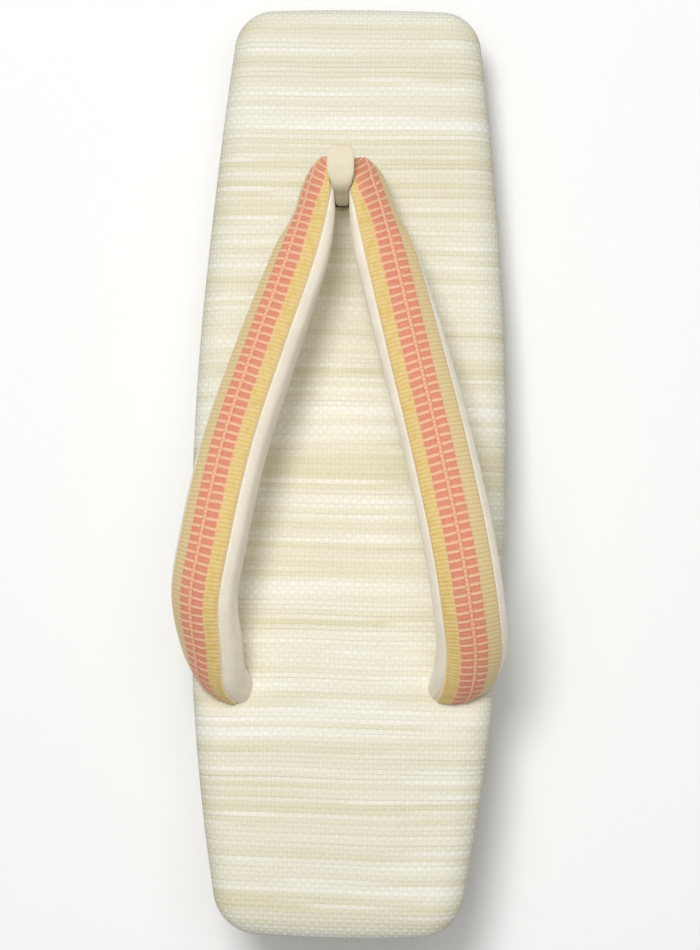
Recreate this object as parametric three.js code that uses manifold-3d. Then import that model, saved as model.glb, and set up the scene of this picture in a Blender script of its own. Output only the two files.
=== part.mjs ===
import * as THREE from 'three';
import Module from 'manifold-3d';

// Zori sandal for either foot, in millimetres, +Z up and the toe towards +Y.
// The origin is on the floor under the middle of the sole.
// Distances called s run along the sole from the heel end, so s = y + soleLength / 2.

const wasm = await Module();
wasm.setup();

const gap = 0.3;

// Sole
const soleLength = 240;
const cornerRadius = { heel: 9.5, toe: 9 };
const endBulge = { heel: 1.2, toe: 1 };
const smallestCorner = 2;
const footbedThickness = 9;
const footbedCrown = 0.9;
const outsoleThickness = 4;
const toeSpring = 6.5;
const toeSpringStart = 186;
const heelBevel = { length: 7, rise: 1.2 };
const sidePoints = 30;
const cornerPoints = 5;
const endPoints = 3;

// Width of the footbed at its widest rim, and height of its top face on the axis
const soleTable = [
  { s: 0, halfWidth: 29.8, top: 44.5 },
  { s: 30, halfWidth: 34.7, top: 42.4 },
  { s: 60, halfWidth: 38.2, top: 38.8 },
  { s: 90, halfWidth: 40.0, top: 34.3 },
  { s: 120, halfWidth: 40.5, top: 29.4 },
  { s: 150, halfWidth: 39.8, top: 25.4 },
  { s: 180, halfWidth: 37.7, top: 23.0 },
  { s: 210, halfWidth: 34.8, top: 22.6 },
  { s: 240, halfWidth: 31.0, top: 24.2 },
];

// Rolled rim of the footbed: how far in the roll reaches, and how far it drops
const rimReach = { side: 8, heel: 9.5, toe: 7 };
const rimDrop = 5.4;
const rimSteps = 5;
const crownInset = { side: 22, heel: 22, toe: 20 };
const footbedUnder = [
  { inset: 3.2, rise: 0 },
  { inset: 1, rise: 0.7 },
];

// Inset of the sides below the footbed, from the rim down to the floor
const wallInset = {
  coreTop: { side: 1.4, heel: 1.4, toe: 1.4 },
  coreWaist: { side: 2.9, heel: 3.2, toe: 2.6 },
  coreBottom: { side: 3.8, heel: 5, toe: 3.4 },
  outsoleEdge: { side: 4, heel: 5.2, toe: 3.6 },
  outsoleFloor: { side: 4.9, heel: 6.1, toe: 4.5 },
};
const outsoleChamfer = 0.9;

// Padded strap from the fold at the toe to the hole of each arm, as the centre of its section.
// left and right are the two arms' places across the sole, and the roll columns turn each
// arm's braided face outward, in degrees. half and thick are half its width and thickness.
const armTable = [
  { y: 78.2, z: 35.4, left: -2, right: -2, rollLeft: 88, rollRight: 88, half: 6.2, thick: 1.4 },
  { y: 77.6, z: 35.5, left: -4.8, right: 0.8, rollLeft: 86, rollRight: 85, half: 6.2, thick: 1.4 },
  { y: 76.3, z: 35.8, left: -6.4, right: 2.3, rollLeft: 82, rollRight: 78, half: 6.2, thick: 1.5 },
  { y: 74.4, z: 36.4, left: -7.4, right: 3.2, rollLeft: 77, rollRight: 70, half: 6.2, thick: 1.7 },
  { y: 71.2, z: 37.4, left: -7.95, right: 3.85, rollLeft: 72, rollRight: 63, half: 6.2, thick: 2 },
  { y: 63, z: 39.8, left: -8.75, right: 5.45, rollLeft: 62, rollRight: 53, half: 6.5, thick: 3 },
  { y: 52, z: 42.6, left: -11.9, right: 9.5, rollLeft: 47, rollRight: 37, half: 7.9, thick: 4.3 },
  { y: 28, z: 46.6, left: -19.7, right: 16.8, rollLeft: 40, rollRight: 23, half: 8.5, thick: 5.2 },
  { y: 4, z: 51, left: -26.9, right: 23.8, rollLeft: 37, rollRight: 15, half: 8.7, thick: 5.5 },
  { y: -20, z: 53.8, left: -31.7, right: 29.4, rollLeft: 37, rollRight: 15, half: 8.8, thick: 5.5 },
  { y: -34, z: 51.6, left: -33.8, right: 31.8, rollLeft: 39, rollRight: 15, half: 8.8, thick: 5.5 },
  { y: -45, z: 46.2, left: -32.4, right: 32.6, rollLeft: 48, rollRight: 19, half: 8.8, thick: 5.4 },
  { y: -51.8, z: 40.8, left: -31, right: 31, rollLeft: 60, rollRight: 29, half: 8.4, thick: 5.2 },
  { y: -55, z: 35.5, left: -28.8, right: 28.8, rollLeft: 67, rollRight: 38, half: 7.2, thick: 4.8 },
  { y: -56, z: 30, left: -28, right: 28, rollLeft: 69, rollRight: 41, half: 6.2, thick: 4.5 },
  { y: -56, z: 25, left: -28, right: 28, rollLeft: 69, rollRight: 41, half: 6.2, thick: 4.5 },
];
const strapSections = 66;
const strapSides = 18;
const strapSquareness = 2.25;
const endCrowding = 0.72;

// Flat braid on the strap's outer face: columns across its width, and how proud each one stands
const braidWidth = 15.3;
const braidRise = 1.1;
const braidTable = [
  { across: -1, rise: 0.8 },
  { across: -0.76, rise: 1.05 },
  { across: -0.49, rise: 1.05 },
  { across: -0.45, rise: 1.25 },
  { across: -0.09, rise: 1.25 },
  { across: 0, rise: 1.5 },
  { across: 0.09, rise: 1.25 },
  { across: 0.45, rise: 1.25 },
  { across: 0.49, rise: 1.05 },
  { across: 0.76, rise: 1.05 },
  { across: 1, rise: 0.8 },
];
const braidStart = 4.2;
const braidEnd = 6;
// Near the fold the braid leans over the strap's inner edge, by distances along the strap
const braidLean = { most: 1.6, from: 6, to: 20 };
const arcSteps = 240;

// Toe loop: level sections from the hole in the sole up over the fold of the strap
const loopTable = [
  { z: 12, x: -3.05, back: 68, front: 71.8, halfWidth: 1.8 },
  { z: 20, x: -3.05, back: 68, front: 71.8, halfWidth: 1.8 },
  { z: 24, x: -3.05, back: 68, front: 73.4, halfWidth: 1.8 },
  { z: 28, x: -2.9, back: 68.2, front: 78.6, halfWidth: 1.85 },
  { z: 32, x: -2.7, back: 68.5, front: 80.7, halfWidth: 2.05 },
  { z: 36, x: -2.5, back: 69, front: 81.1, halfWidth: 2.4 },
  { z: 40, x: -2.25, back: 69.6, front: 81.2, halfWidth: 2.75 },
  { z: 43, x: -2.1, back: 70.3, front: 81.2, halfWidth: 3.1 },
  { z: 45, x: -2.1, back: 71.3, front: 80.9, halfWidth: 3.45 },
  { z: 46.2, x: -2.2, back: 72.9, front: 80.1, halfWidth: 3.7 },
  { z: 46.8, x: -2.25, back: 74.9, front: 78.9, halfWidth: 3.5 },
];
const loopSides = 20;
const loopSquareness = 3.6;
const toeHole = { radius: 2.4, x: -3.05, y: 69, sides: 20 };

const finishes = {
  cloth: { color: 0xe6e3cf, roughness: 0.85, metalness: 0 },
  rubber: { color: 0xb9ab90, roughness: 0.75, metalness: 0 },
  lining: { color: 0xe3dfd3, roughness: 0.95, metalness: 0 },
  braid: { color: 0xe59b72, roughness: 0.7, metalness: 0 },
};

// Smooth curve through one column of a table, against another column or the row's number
function columnCurve(rows, value, key) {
  const keys = rows.map((row, i) => (key ? row[key] : i));
  const values = rows.map((row) => row[value]);
  const last = rows.length - 1;
  const slopes = values.map((_, i) => {
    const before = Math.max(i - 1, 0);
    const after = Math.min(i + 1, last);
    return (values[after] - values[before]) / (keys[after] - keys[before]);
  });
  return (at) => {
    let i = 0;
    while (i < last - 1 && at > keys[i + 1]) i += 1;
    const span = keys[i + 1] - keys[i];
    const t = (at - keys[i]) / span;
    const u = 1 - t;
    const start = values[i] * (1 + 2 * t) * u * u + slopes[i] * span * t * u * u;
    const end = values[i + 1] * (3 - 2 * t) * t * t - slopes[i + 1] * span * u * t * t;
    return start + end;
  };
}

const halfWidthAt = columnCurve(soleTable, 'halfWidth', 's');
const topAt = columnCurve(soleTable, 'top', 's');

function fromHeel(y) {
  return y + soleLength / 2;
}

function topHeight(y) {
  return topAt(THREE.MathUtils.clamp(fromHeel(y), 0, soleLength));
}

// The tread is flat on the floor from the heel bevel to the toe spring
function floorHeight(y) {
  const s = fromHeel(y);
  const toe = Math.max(0, (s - toeSpringStart) / (soleLength - toeSpringStart));
  const heel = Math.max(0, (heelBevel.length - s) / heelBevel.length);
  return toeSpring * toe * toe + heelBevel.rise * heel;
}

function evenInset(inset) {
  return { side: inset, heel: inset, toe: inset };
}

function scaledInset(inset, factor) {
  return { side: inset.side * factor, heel: inset.heel * factor, toe: inset.toe * factor };
}

// Right half of the outline from the heel's middle to the toe's middle, drawn in by an inset
function halfOutline(inset) {
  const heelY = -soleLength / 2 + inset.heel;
  const toeY = soleLength / 2 - inset.toe;
  const width = (y) => halfWidthAt(fromHeel(y)) - inset.side;
  const ends = [
    { y: heelY, into: 1, radius: cornerRadius.heel - inset.heel, bulge: endBulge.heel },
    { y: toeY, into: -1, radius: cornerRadius.toe - inset.toe, bulge: endBulge.toe },
  ];
  const halves = ends.map((end) => {
    const radius = Math.max(end.radius, smallestCorner);
    const edgeY = end.y + end.into * end.bulge;
    const edgeX = width(edgeY) - radius;
    const points = [];
    for (let i = 0; i < endPoints; i += 1) {
      const share = i / endPoints;
      points.push([edgeX * share, end.y + end.into * end.bulge * share * share]);
    }
    for (let i = 0; i <= cornerPoints; i += 1) {
      const turn = (i / cornerPoints) * (Math.PI / 2);
      const y = edgeY + end.into * radius * (1 - Math.cos(turn));
      points.push([width(y) - radius * (1 - Math.sin(turn)), y]);
    }
    return points;
  });
  const [heel, toe] = halves;
  const startY = heel[heel.length - 1][1];
  const endY = toe[toe.length - 1][1];
  const side = [];
  for (let i = 1; i < sidePoints; i += 1) {
    const y = THREE.MathUtils.lerp(startY, endY, i / sidePoints);
    side.push([width(y), y]);
  }
  return [...heel, ...side, ...toe.reverse()];
}

// Whole outline as a ring of points, with a height for each one
function outlineRing(inset, height) {
  const right = halfOutline(inset);
  const left = right.slice(1, -1).reverse().map(([x, y]) => [-x, y]);
  return [...right, ...left].map(([x, y]) => new THREE.Vector3(x, y, height(y)));
}

// Flat rungs across a ring of the outline, from the heel's middle to the toe's middle
function rungCap(start, count) {
  const half = count / 2;
  const left = (i) => start + ((count - i) % count);
  const triangles = [[start, start + 1, left(1)]];
  for (let i = 1; i < half - 1; i += 1) {
    triangles.push([start + i, start + i + 1, left(i + 1)]);
    triangles.push([start + i, left(i + 1), left(i)]);
  }
  triangles.push([start + half - 1, start + half, left(half - 1)]);
  return triangles;
}

// Fan from the first point of a ring
function fanCap(start, count) {
  const triangles = [];
  for (let i = 1; i < count - 1; i += 1) triangles.push([start, start + i, start + i + 1]);
  return triangles;
}

// Closed solid through a row of rings, with a cap on the first and on the last one
function loft(rings, cap) {
  const count = rings[0].length;
  const points = rings.flat();
  const triangles = cap(0, count).map(([a, b, c]) => [a, c, b]);
  for (let r = 0; r + 1 < rings.length; r += 1) {
    for (let i = 0; i < count; i += 1) {
      const a = r * count + i;
      const b = r * count + ((i + 1) % count);
      triangles.push([a, b, b + count], [a, b + count, a + count]);
    }
  }
  triangles.push(...cap((rings.length - 1) * count, count));
  return solidOf(points, triangles);
}

function solidOf(points, triangles) {
  const volume = triangles.reduce((sum, [a, b, c]) => {
    const cross = new THREE.Vector3().crossVectors(points[b], points[c]);
    return sum + points[a].dot(cross);
  }, 0);
  const outward = volume > 0 ? triangles : triangles.map(([a, b, c]) => [a, c, b]);
  return new wasm.Manifold(new wasm.Mesh({
    numProp: 3,
    vertProperties: new Float32Array(points.flatMap((p) => p.toArray())),
    triVerts: new Uint32Array(outward.flat()),
  }));
}

function outsoleSolid() {
  const top = (y) => floorHeight(y) + outsoleThickness;
  return loft([
    outlineRing(wallInset.outsoleFloor, floorHeight),
    outlineRing(wallInset.outsoleEdge, (y) => floorHeight(y) + outsoleChamfer),
    outlineRing(wallInset.coreBottom, top),
  ], rungCap);
}

function coreSolid() {
  const bottom = (y) => floorHeight(y) + outsoleThickness + gap;
  const top = (y) => topHeight(y) - footbedThickness - gap;
  const waist = (y) => (bottom(y) + top(y)) / 2;
  return loft([
    outlineRing(wallInset.coreBottom, bottom),
    outlineRing(wallInset.coreWaist, waist),
    outlineRing(wallInset.coreTop, top),
  ], rungCap);
}

// Footbed before its holes are cut, with its rim and top face raised by a clearance
function footbedSolid(raise) {
  const rings = footbedUnder.map(({ inset, rise }) => (
    outlineRing(evenInset(inset), (y) => topHeight(y) - footbedThickness + rise)
  ));
  for (let i = 0; i <= rimSteps; i += 1) {
    const turn = (i / rimSteps) * (Math.PI / 2);
    const inset = scaledInset(rimReach, 1 - Math.cos(turn));
    const drop = rimDrop * (1 - Math.sin(turn)) - raise;
    rings.push(outlineRing(inset, (y) => topHeight(y) - drop));
  }
  rings.push(outlineRing(crownInset, (y) => topHeight(y) + footbedCrown + raise));
  return loft(rings, rungCap);
}

// Rows of the whole strap, from the left hole over the fold to the right hole
const strapRows = [
  ...armTable.slice(1).reverse().map((row) => ({ ...row, x: row.left, roll: row.rollLeft })),
  ...armTable.map((row) => ({ ...row, x: row.right, roll: row.rollRight })),
];
const strapCurve = new THREE.CatmullRomCurve3(
  strapRows.map((row) => new THREE.Vector3(row.x, row.y, row.z)),
);
strapCurve.arcLengthDivisions = 1200;
const rollAt = columnCurve(strapRows, 'roll');
const halfAt = columnCurve(strapRows, 'half');
const thickAt = columnCurve(strapRows, 'thick');

// Frames along the strap, closer together at the fold and at both ends.
// Each frame is carried on from the fold without twisting, then rolled by the table's angle.
function strapFrames() {
  const total = strapCurve.getLength();
  const frames = [];
  for (let i = 0; i <= strapSections; i += 1) {
    const even = i / strapSections;
    const at = even - (endCrowding * Math.sin(4 * Math.PI * even)) / (4 * Math.PI);
    const t = strapCurve.getUtoTmapping(at);
    const row = t * (strapRows.length - 1);
    frames.push({
      centre: strapCurve.getPoint(t),
      along: strapCurve.getTangent(t),
      fromFold: Math.abs(at - 0.5) * total,
      fromEnd: (0.5 - Math.abs(at - 0.5)) * total,
      roll: THREE.MathUtils.degToRad(rollAt(row)),
      half: halfAt(row),
      thick: thickAt(row),
    });
  }
  const middle = strapSections / 2;
  const carry = (from, to) => {
    const turn = new THREE.Quaternion().setFromUnitVectors(from.along, to.along);
    to.up = from.up.clone().applyQuaternion(turn);
  };
  frames[middle].up = new THREE.Vector3(0, 0, 1);
  for (let i = middle; i < strapSections; i += 1) carry(frames[i], frames[i + 1]);
  for (let i = middle; i > 0; i -= 1) carry(frames[i], frames[i - 1]);
  for (const frame of frames) {
    const out = new THREE.Vector3().crossVectors(frame.up, frame.along);
    const cos = Math.cos(frame.roll);
    const sin = Math.sin(frame.roll);
    frame.face = frame.up.clone().multiplyScalar(cos).addScaledVector(out, sin);
    frame.across = out.clone().multiplyScalar(cos).addScaledVector(frame.up, -sin);
  }
  return frames;
}

const frames = strapFrames();

function rounded(value, squareness) {
  return Math.sign(value) * Math.abs(value) ** (2 / squareness);
}

// Point of the strap's own section, raised off its surface
function strapPoint(frame, angle, rise) {
  const across = (frame.half + rise) * rounded(Math.cos(angle), strapSquareness);
  const face = (frame.thick + rise) * rounded(Math.sin(angle), strapSquareness);
  return frame.centre.clone()
    .addScaledVector(frame.across, across)
    .addScaledVector(frame.face, face);
}

function strapSolid(rise) {
  const rings = frames.map((frame) => {
    const ring = [];
    for (let i = 0; i < strapSides; i += 1) {
      ring.push(strapPoint(frame, (i / strapSides) * 2 * Math.PI, rise));
    }
    return ring;
  });
  rings[0].forEach((point) => point.addScaledVector(frames[0].along, -rise));
  rings[strapSections].forEach((point) => point.addScaledVector(frames[strapSections].along, rise));
  return loft(rings, fanCap);
}

// Section angle that lies a given length from the middle of the braided face, along the surface
function angleAtArc(frame, length) {
  const step = Math.PI / arcSteps;
  let angle = Math.PI / 2;
  let walked = 0;
  let point = strapPoint(frame, angle, braidRise);
  while (walked < Math.abs(length) && angle > -Math.PI / 2) {
    angle -= step;
    const next = strapPoint(frame, angle, braidRise);
    walked += next.distanceTo(point);
    point = next;
  }
  return length > 0 ? angle : Math.PI - angle;
}

// Braid of one arm: a wall from just off the strap's surface to the proud columns of the table
function braidSolid(side) {
  const arm = frames.filter((frame) => (
    Math.sign(frame.centre.x - armTable[0].left) === side
    && frame.fromFold > braidStart
    && frame.fromEnd > braidEnd
  ));
  const rings = arm.map((frame) => {
    const reach = braidWidth / 2;
    const upright = THREE.MathUtils.smoothstep(frame.fromFold, braidLean.from, braidLean.to);
    const lean = braidLean.most * (1 - upright);
    const outer = braidTable.map(({ across, rise }) => (
      strapPoint(frame, angleAtArc(frame, across * reach - lean), rise)
    ));
    const inner = braidTable.map(({ across }) => (
      strapPoint(frame, angleAtArc(frame, -across * reach - lean), gap)
    ));
    return [...outer, ...inner];
  });
  return loft(rings, rungCap);
}

function loopSolid(rise) {
  const last = loopTable.length - 1;
  const rings = loopTable.map((row, r) => {
    const lift = (r === last ? rise : 0) - (r === 0 ? rise : 0);
    const ring = [];
    for (let i = 0; i < loopSides; i += 1) {
      const angle = (i / loopSides) * 2 * Math.PI;
      const halfDepth = (row.front - row.back) / 2;
      ring.push(new THREE.Vector3(
        row.x + (row.halfWidth + rise) * rounded(Math.cos(angle), loopSquareness),
        row.back + halfDepth + (halfDepth + rise) * rounded(Math.sin(angle), loopSquareness),
        row.z + lift,
      ));
    }
    return ring;
  });
  return loft(rings, fanCap);
}

// Room at the back of the loop in the footbed's front hole
function toeHoleSolid() {
  const rings = [loopTable[0].z - gap, topHeight(toeHole.y) + footbedThickness].map((z) => {
    const ring = [];
    for (let i = 0; i < toeHole.sides; i += 1) {
      const angle = (i / toeHole.sides) * 2 * Math.PI;
      const x = toeHole.x + toeHole.radius * Math.cos(angle);
      const y = toeHole.y + toeHole.radius * Math.sin(angle);
      ring.push(new THREE.Vector3(x, y, z));
    }
    return ring;
  });
  return loft(rings, fanCap);
}

function meshOf(name, solid, finish) {
  const { vertProperties, triVerts } = solid.getMesh();
  const geometry = new THREE.BufferGeometry();
  geometry.setAttribute('position', new THREE.BufferAttribute(vertProperties, 3));
  geometry.setIndex(new THREE.BufferAttribute(triVerts, 1));
  geometry.computeVertexNormals();
  const mesh = new THREE.Mesh(geometry, new THREE.MeshStandardMaterial(finish));
  mesh.name = name;
  return mesh;
}

const strapRoom = strapSolid(gap).add(strapSolid(gap / 2));
const loopRoom = loopSolid(gap);
const holes = strapRoom.add(loopRoom).add(toeHoleSolid());
const braidEdge = footbedSolid(gap).add(loopRoom).add(strapSolid(gap / 2));

const zori = new THREE.Group();
zori.name = 'zori';
zori.add(
  meshOf('outsole', outsoleSolid(), finishes.rubber),
  meshOf('sole_core', coreSolid().subtract(holes), finishes.cloth),
  meshOf('footbed', footbedSolid(0).subtract(holes), finishes.cloth),
  meshOf('strap', strapSolid(0), finishes.lining),
  meshOf('braid_left', braidSolid(-1).subtract(braidEdge), finishes.braid),
  meshOf('braid_right', braidSolid(1).subtract(braidEdge), finishes.braid),
  meshOf('toe_loop', loopSolid(0).subtract(strapRoom), finishes.lining),
);

export default zori;
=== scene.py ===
import math

import bpy
import numpy as np
from mathutils import Matrix, Vector


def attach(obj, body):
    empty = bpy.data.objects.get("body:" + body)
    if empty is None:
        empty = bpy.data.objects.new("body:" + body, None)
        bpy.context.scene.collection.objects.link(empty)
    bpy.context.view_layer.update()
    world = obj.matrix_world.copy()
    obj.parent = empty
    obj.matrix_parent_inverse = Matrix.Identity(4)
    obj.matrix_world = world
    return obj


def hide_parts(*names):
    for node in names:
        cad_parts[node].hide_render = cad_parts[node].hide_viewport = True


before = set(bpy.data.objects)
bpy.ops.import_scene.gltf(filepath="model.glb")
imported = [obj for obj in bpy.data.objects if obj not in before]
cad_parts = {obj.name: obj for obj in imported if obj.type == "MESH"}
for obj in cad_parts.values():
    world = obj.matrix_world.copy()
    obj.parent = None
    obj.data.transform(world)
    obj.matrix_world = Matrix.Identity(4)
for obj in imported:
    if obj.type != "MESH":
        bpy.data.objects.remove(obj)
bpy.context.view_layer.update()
mm = 0.001


# sole in millimetres: s runs from the heel end, then half width and height of the top face
sole = {
    "length": 240,
    "rows": [
        (0, 29.8, 44.5), (30, 34.7, 42.4), (60, 38.2, 38.8), (90, 40.0, 34.3), (120, 40.5, 29.4),
        (150, 39.8, 25.4), (180, 37.7, 23.0), (210, 34.8, 22.6), (240, 31.0, 24.2),
    ],
    "corner": {"heel": 9.5, "toe": 9},
    "bulge": {"heel": 0.7, "toe": 0.4},
    "boardThickness": 9,
    "treadThickness": 4,
    "toeSpring": (186, 6.5),  # start and rise
    "heelBevel": (7, 1.2),  # length and rise
    "gap": 0.3,
}


def columnCurve(keys, values):  # smooth curve through one column of a table
    keys, values = np.array(keys, float), np.array(values, float)
    last = len(keys) - 1
    order = np.arange(last + 1)
    before, after = np.maximum(order - 1, 0), np.minimum(order + 1, last)
    slopes = (values[after] - values[before]) / (keys[after] - keys[before])

    def at(place):
        i = np.minimum(np.searchsorted(keys[1:], place), last - 1)
        span = keys[i + 1] - keys[i]
        t = (place - keys[i]) / span
        u = 1 - t
        start = values[i] * (1 + 2 * t) * u * u + slopes[i] * span * t * u * u
        end = values[i + 1] * (3 - 2 * t) * t * t - slopes[i + 1] * span * u * t * t
        return start + end
    return at


soleColumns = list(zip(*sole["rows"]))
halfWidthAt = columnCurve(soleColumns[0], soleColumns[1])
topAt = columnCurve(soleColumns[0], soleColumns[2])


def topHeight(y):
    return topAt(np.clip(np.asarray(y, float) + sole["length"] / 2, 0, sole["length"]))


def floorHeight(y):
    s = np.asarray(y, float) + sole["length"] / 2
    springStart, springRise = sole["toeSpring"]
    bevelLength, bevelRise = sole["heelBevel"]
    toe = np.maximum(0, (s - springStart) / (sole["length"] - springStart))
    heel = np.maximum(0, (bevelLength - s) / bevelLength)
    return springRise * toe * toe + bevelRise * heel


def soleRing(side, heel, toe, sidePoints=150, cornerPoints=16, endPoints=22):
    # outline drawn in by one inset at the sides, one at the heel and one at the toe
    def width(y):
        return halfWidthAt(y + sole["length"] / 2) - side

    halves = []
    for endY, into, inset, name in ((-1, 1, heel, "heel"), (1, -1, toe, "toe")):
        y = endY * (sole["length"] / 2 - inset)
        radius = max(sole["corner"][name] - inset, 2)
        bulge = sole["bulge"][name]
        edgeY = y + into * bulge
        edgeX = width(edgeY) - radius
        share = np.arange(endPoints) / endPoints
        flat = np.stack([edgeX * share, y + into * bulge * share ** 2], 1)
        turn = np.linspace(0, math.pi / 2, cornerPoints + 1)
        cornerY = edgeY + into * radius * (1 - np.cos(turn))
        corner = np.stack([width(cornerY) - radius * (1 - np.sin(turn)), cornerY], 1)
        halves.append(np.concatenate([flat, corner]))
    heelHalf, toeHalf = halves
    sideY = np.linspace(heelHalf[-1, 1], toeHalf[-1, 1], sidePoints + 1)[1:-1]
    sideRow = np.stack([width(sideY), sideY], 1)
    right = np.concatenate([heelHalf, sideRow, toeHalf[::-1]])
    left = right[1:-1][::-1] * (-1, 1)
    return np.concatenate([right, left])


def withHeight(ring, height):
    return np.column_stack([ring, height(ring[:, 1])])


def outward(ring):  # direction out of the outline at each of its points, level with the floor
    along = np.roll(ring[:, :2], -1, 0) - np.roll(ring[:, :2], 1, 0)
    out = np.column_stack([along[:, 1], -along[:, 0], np.zeros(len(ring))])
    return out / np.linalg.norm(out, axis=1)[:, None]


def laidFlat(ring, spare):  # place of each point on the flat cloth, with the length that goes over the edge
    return ring * (1, 1, 0) + outward(ring) * np.reshape(spare, (-1, 1))


# strap in millimetres: y, z, x of the left and right arm, roll of the left and right arm in degrees,
# half width, half thickness
strap = {
    "rows": [
        (78.2, 35.4, -2, -2, 88, 88, 6.2, 1.4), (77.6, 35.5, -4.8, 0.8, 86, 85, 6.2, 1.4),
        (76.3, 35.8, -6.4, 2.3, 82, 78, 6.2, 1.5), (74.4, 36.4, -7.6, 3.4, 77, 70, 6.2, 1.7),
        (71.2, 37.4, -8.3, 4.2, 72, 63, 6.2, 2), (63, 39.8, -9, 5.9, 62, 53, 6.5, 3),
        (52, 42.6, -11.9, 9.5, 47, 37, 7.9, 4.3), (28, 46.6, -19.7, 16.8, 40, 23, 8.5, 5.2),
        (4, 51, -26.9, 23.8, 37, 15, 8.7, 5.5), (-20, 53.8, -31.7, 29.4, 37, 15, 8.8, 5.5),
        (-34, 51.6, -33.8, 31.8, 39, 15, 8.8, 5.5), (-45, 46.2, -32.4, 32.6, 48, 19, 8.8, 5.4),
        (-51.8, 40.8, -31, 31, 60, 29, 8.4, 5.2), (-55, 35.5, -28.8, 28.8, 67, 38, 7.2, 4.8),
        (-56, 30, -28, 28, 69, 41, 6.2, 4.5), (-56, 25, -28, 28, 69, 41, 6.2, 4.5),
    ],
    "squareness": 2.25,
    "step": 0.9,
    "sides": 160,
    "toolStep": 1.6,  # coarser band that cuts the other pieces
    "toolSides": 40,
    "foldReach": 22,
    "endReach": 30,
    "endHeight": 30.2,  # the part below is inside the sole
    "fill": 0.75,
    "seamDepth": 0.55,
    "seamWidth": 0.9,
    "swell": 0.62,  # lining beside the tape
    "swellRise": (-0.9, -0.1),  # distance from the tape's edge where the swell starts and is full
    "swellFade": (5, 1.5),  # where it has gone and where it starts to go
    "swellStart": (6, 26),  # distance from the fold
    "wadding": 0.07,
    "ripple": 0.08,  # creases of the lining in the fold
    "bendReach": 12,
}


def centripetal(points, perSpan=60):  # curve through the points, close enough to walk along
    ends = [2 * points[0] - points[1], *points, 2 * points[-1] - points[-2]]
    track, rows = [], []
    for i in range(len(points) - 1):
        p = ends[i:i + 4]
        knots = np.cumsum([0, *[np.linalg.norm(p[k + 1] - p[k]) ** 0.5 for k in range(3)]])
        for share in np.arange(perSpan) / perSpan:
            t = knots[1] + share * (knots[2] - knots[1])
            a = [
                ((knots[k + 1] - t) * p[k] + (t - knots[k]) * p[k + 1]) / (knots[k + 1] - knots[k])
                for k in range(3)
            ]
            b = [
                ((knots[k + 2] - t) * a[k] + (t - knots[k]) * a[k + 1]) / (knots[k + 2] - knots[k])
                for k in range(2)
            ]
            track.append(((knots[2] - t) * b[0] + (t - knots[1]) * b[1]) / (knots[2] - knots[1]))
            rows.append(i + share)
    track.append(points[-1])
    rows.append(len(points) - 1)
    return np.array(track), np.array(rows)


def strapFrames(step):  # frames along the whole strap, from the left hole over the fold to the right one
    rows = np.array(strap["rows"], float)
    left = np.column_stack([rows[:, 2], rows[:, 0], rows[:, 1]])
    right = np.column_stack([rows[:, 3], rows[:, 0], rows[:, 1]])
    points = np.concatenate([left[:0:-1], right])
    column = {
        "roll": np.radians(np.concatenate([rows[:0:-1, 4], rows[:, 5]])),
        "half": np.concatenate([rows[:0:-1, 6], rows[:, 6]]),
        "thick": np.concatenate([rows[:0:-1, 7], rows[:, 7]]),
    }
    track, place = centripetal(list(points))
    length = np.concatenate([[0], np.cumsum(np.linalg.norm(np.diff(track, axis=0), axis=1))])
    fold = np.interp(len(rows) - 1, place, length)
    before = int(fold / step)
    after = int((length[-1] - fold) / step)
    walked = np.concatenate([np.linspace(0, fold, before + 1), np.linspace(fold, length[-1], after + 1)[1:]])
    centre = np.column_stack([np.interp(walked, length, track[:, k]) for k in range(3)])
    along = np.gradient(centre, axis=0)
    along /= np.linalg.norm(along, axis=1)[:, None]
    row = np.interp(walked, length, place)
    keys = np.arange(len(points))
    up = np.zeros_like(centre)
    up[before] = (0, 0, 1)
    for i in range(before, len(walked) - 1):
        up[i + 1] = Vector(along[i]).rotation_difference(Vector(along[i + 1])) @ Vector(up[i])
    for i in range(before, 0, -1):
        up[i - 1] = Vector(along[i]).rotation_difference(Vector(along[i - 1])) @ Vector(up[i])
    up -= along * np.sum(up * along, 1)[:, None]
    up /= np.linalg.norm(up, axis=1)[:, None]
    out = np.cross(up, along)
    roll = columnCurve(keys, column["roll"])(row)[:, None]
    return {
        "centre": centre,
        "face": up * np.cos(roll) + out * np.sin(roll),
        "across": out * np.cos(roll) - up * np.sin(roll),
        "half": columnCurve(keys, column["half"])(row),
        "thick": columnCurve(keys, column["thick"])(row),
        "walked": walked - fold,
    }


def pickFrames(frames, keep):
    return {name: value[keep] for name, value in frames.items()}


def rounded(value, squareness):
    return np.sign(value) * np.abs(value) ** (2 / squareness)


def sectionAngles(sides, frameCount):
    return np.repeat(np.arange(sides)[None] / sides * 2 * math.pi, frameCount, 0)


def strapPoints(frames, angle, rise):  # points round the strap, raised off its surface
    across = (frames["half"][:, None] + rise) * rounded(np.cos(angle), strap["squareness"])
    face = (frames["thick"][:, None] + rise) * rounded(np.sin(angle), strap["squareness"])
    sideways = across[..., None] * frames["across"][:, None]
    outwards = face[..., None] * frames["face"][:, None]
    return frames["centre"][:, None] + sideways + outwards


def ringFaces(rings, count, start=0):  # side faces through a row of rings
    faces = []
    for r in range(rings - 1):
        a = start + r * count
        for i in range(count):
            j = (i + 1) % count
            faces.append((a + i, a + j, a + count + j, a + count + i))
    return faces


def soft3(x, y, z, seed):  # slow smooth unevenness between -1 and 1, the same on every run
    rng = np.random.default_rng(seed)
    total = 0
    for _ in range(7):
        direction = rng.normal(size=3)
        direction *= rng.uniform(0.6, 1.7) / np.linalg.norm(direction)
        total = total + np.sin(direction[0] * x + direction[1] * y + direction[2] * z + rng.uniform(0, 6.28))
    return total / 7


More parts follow.
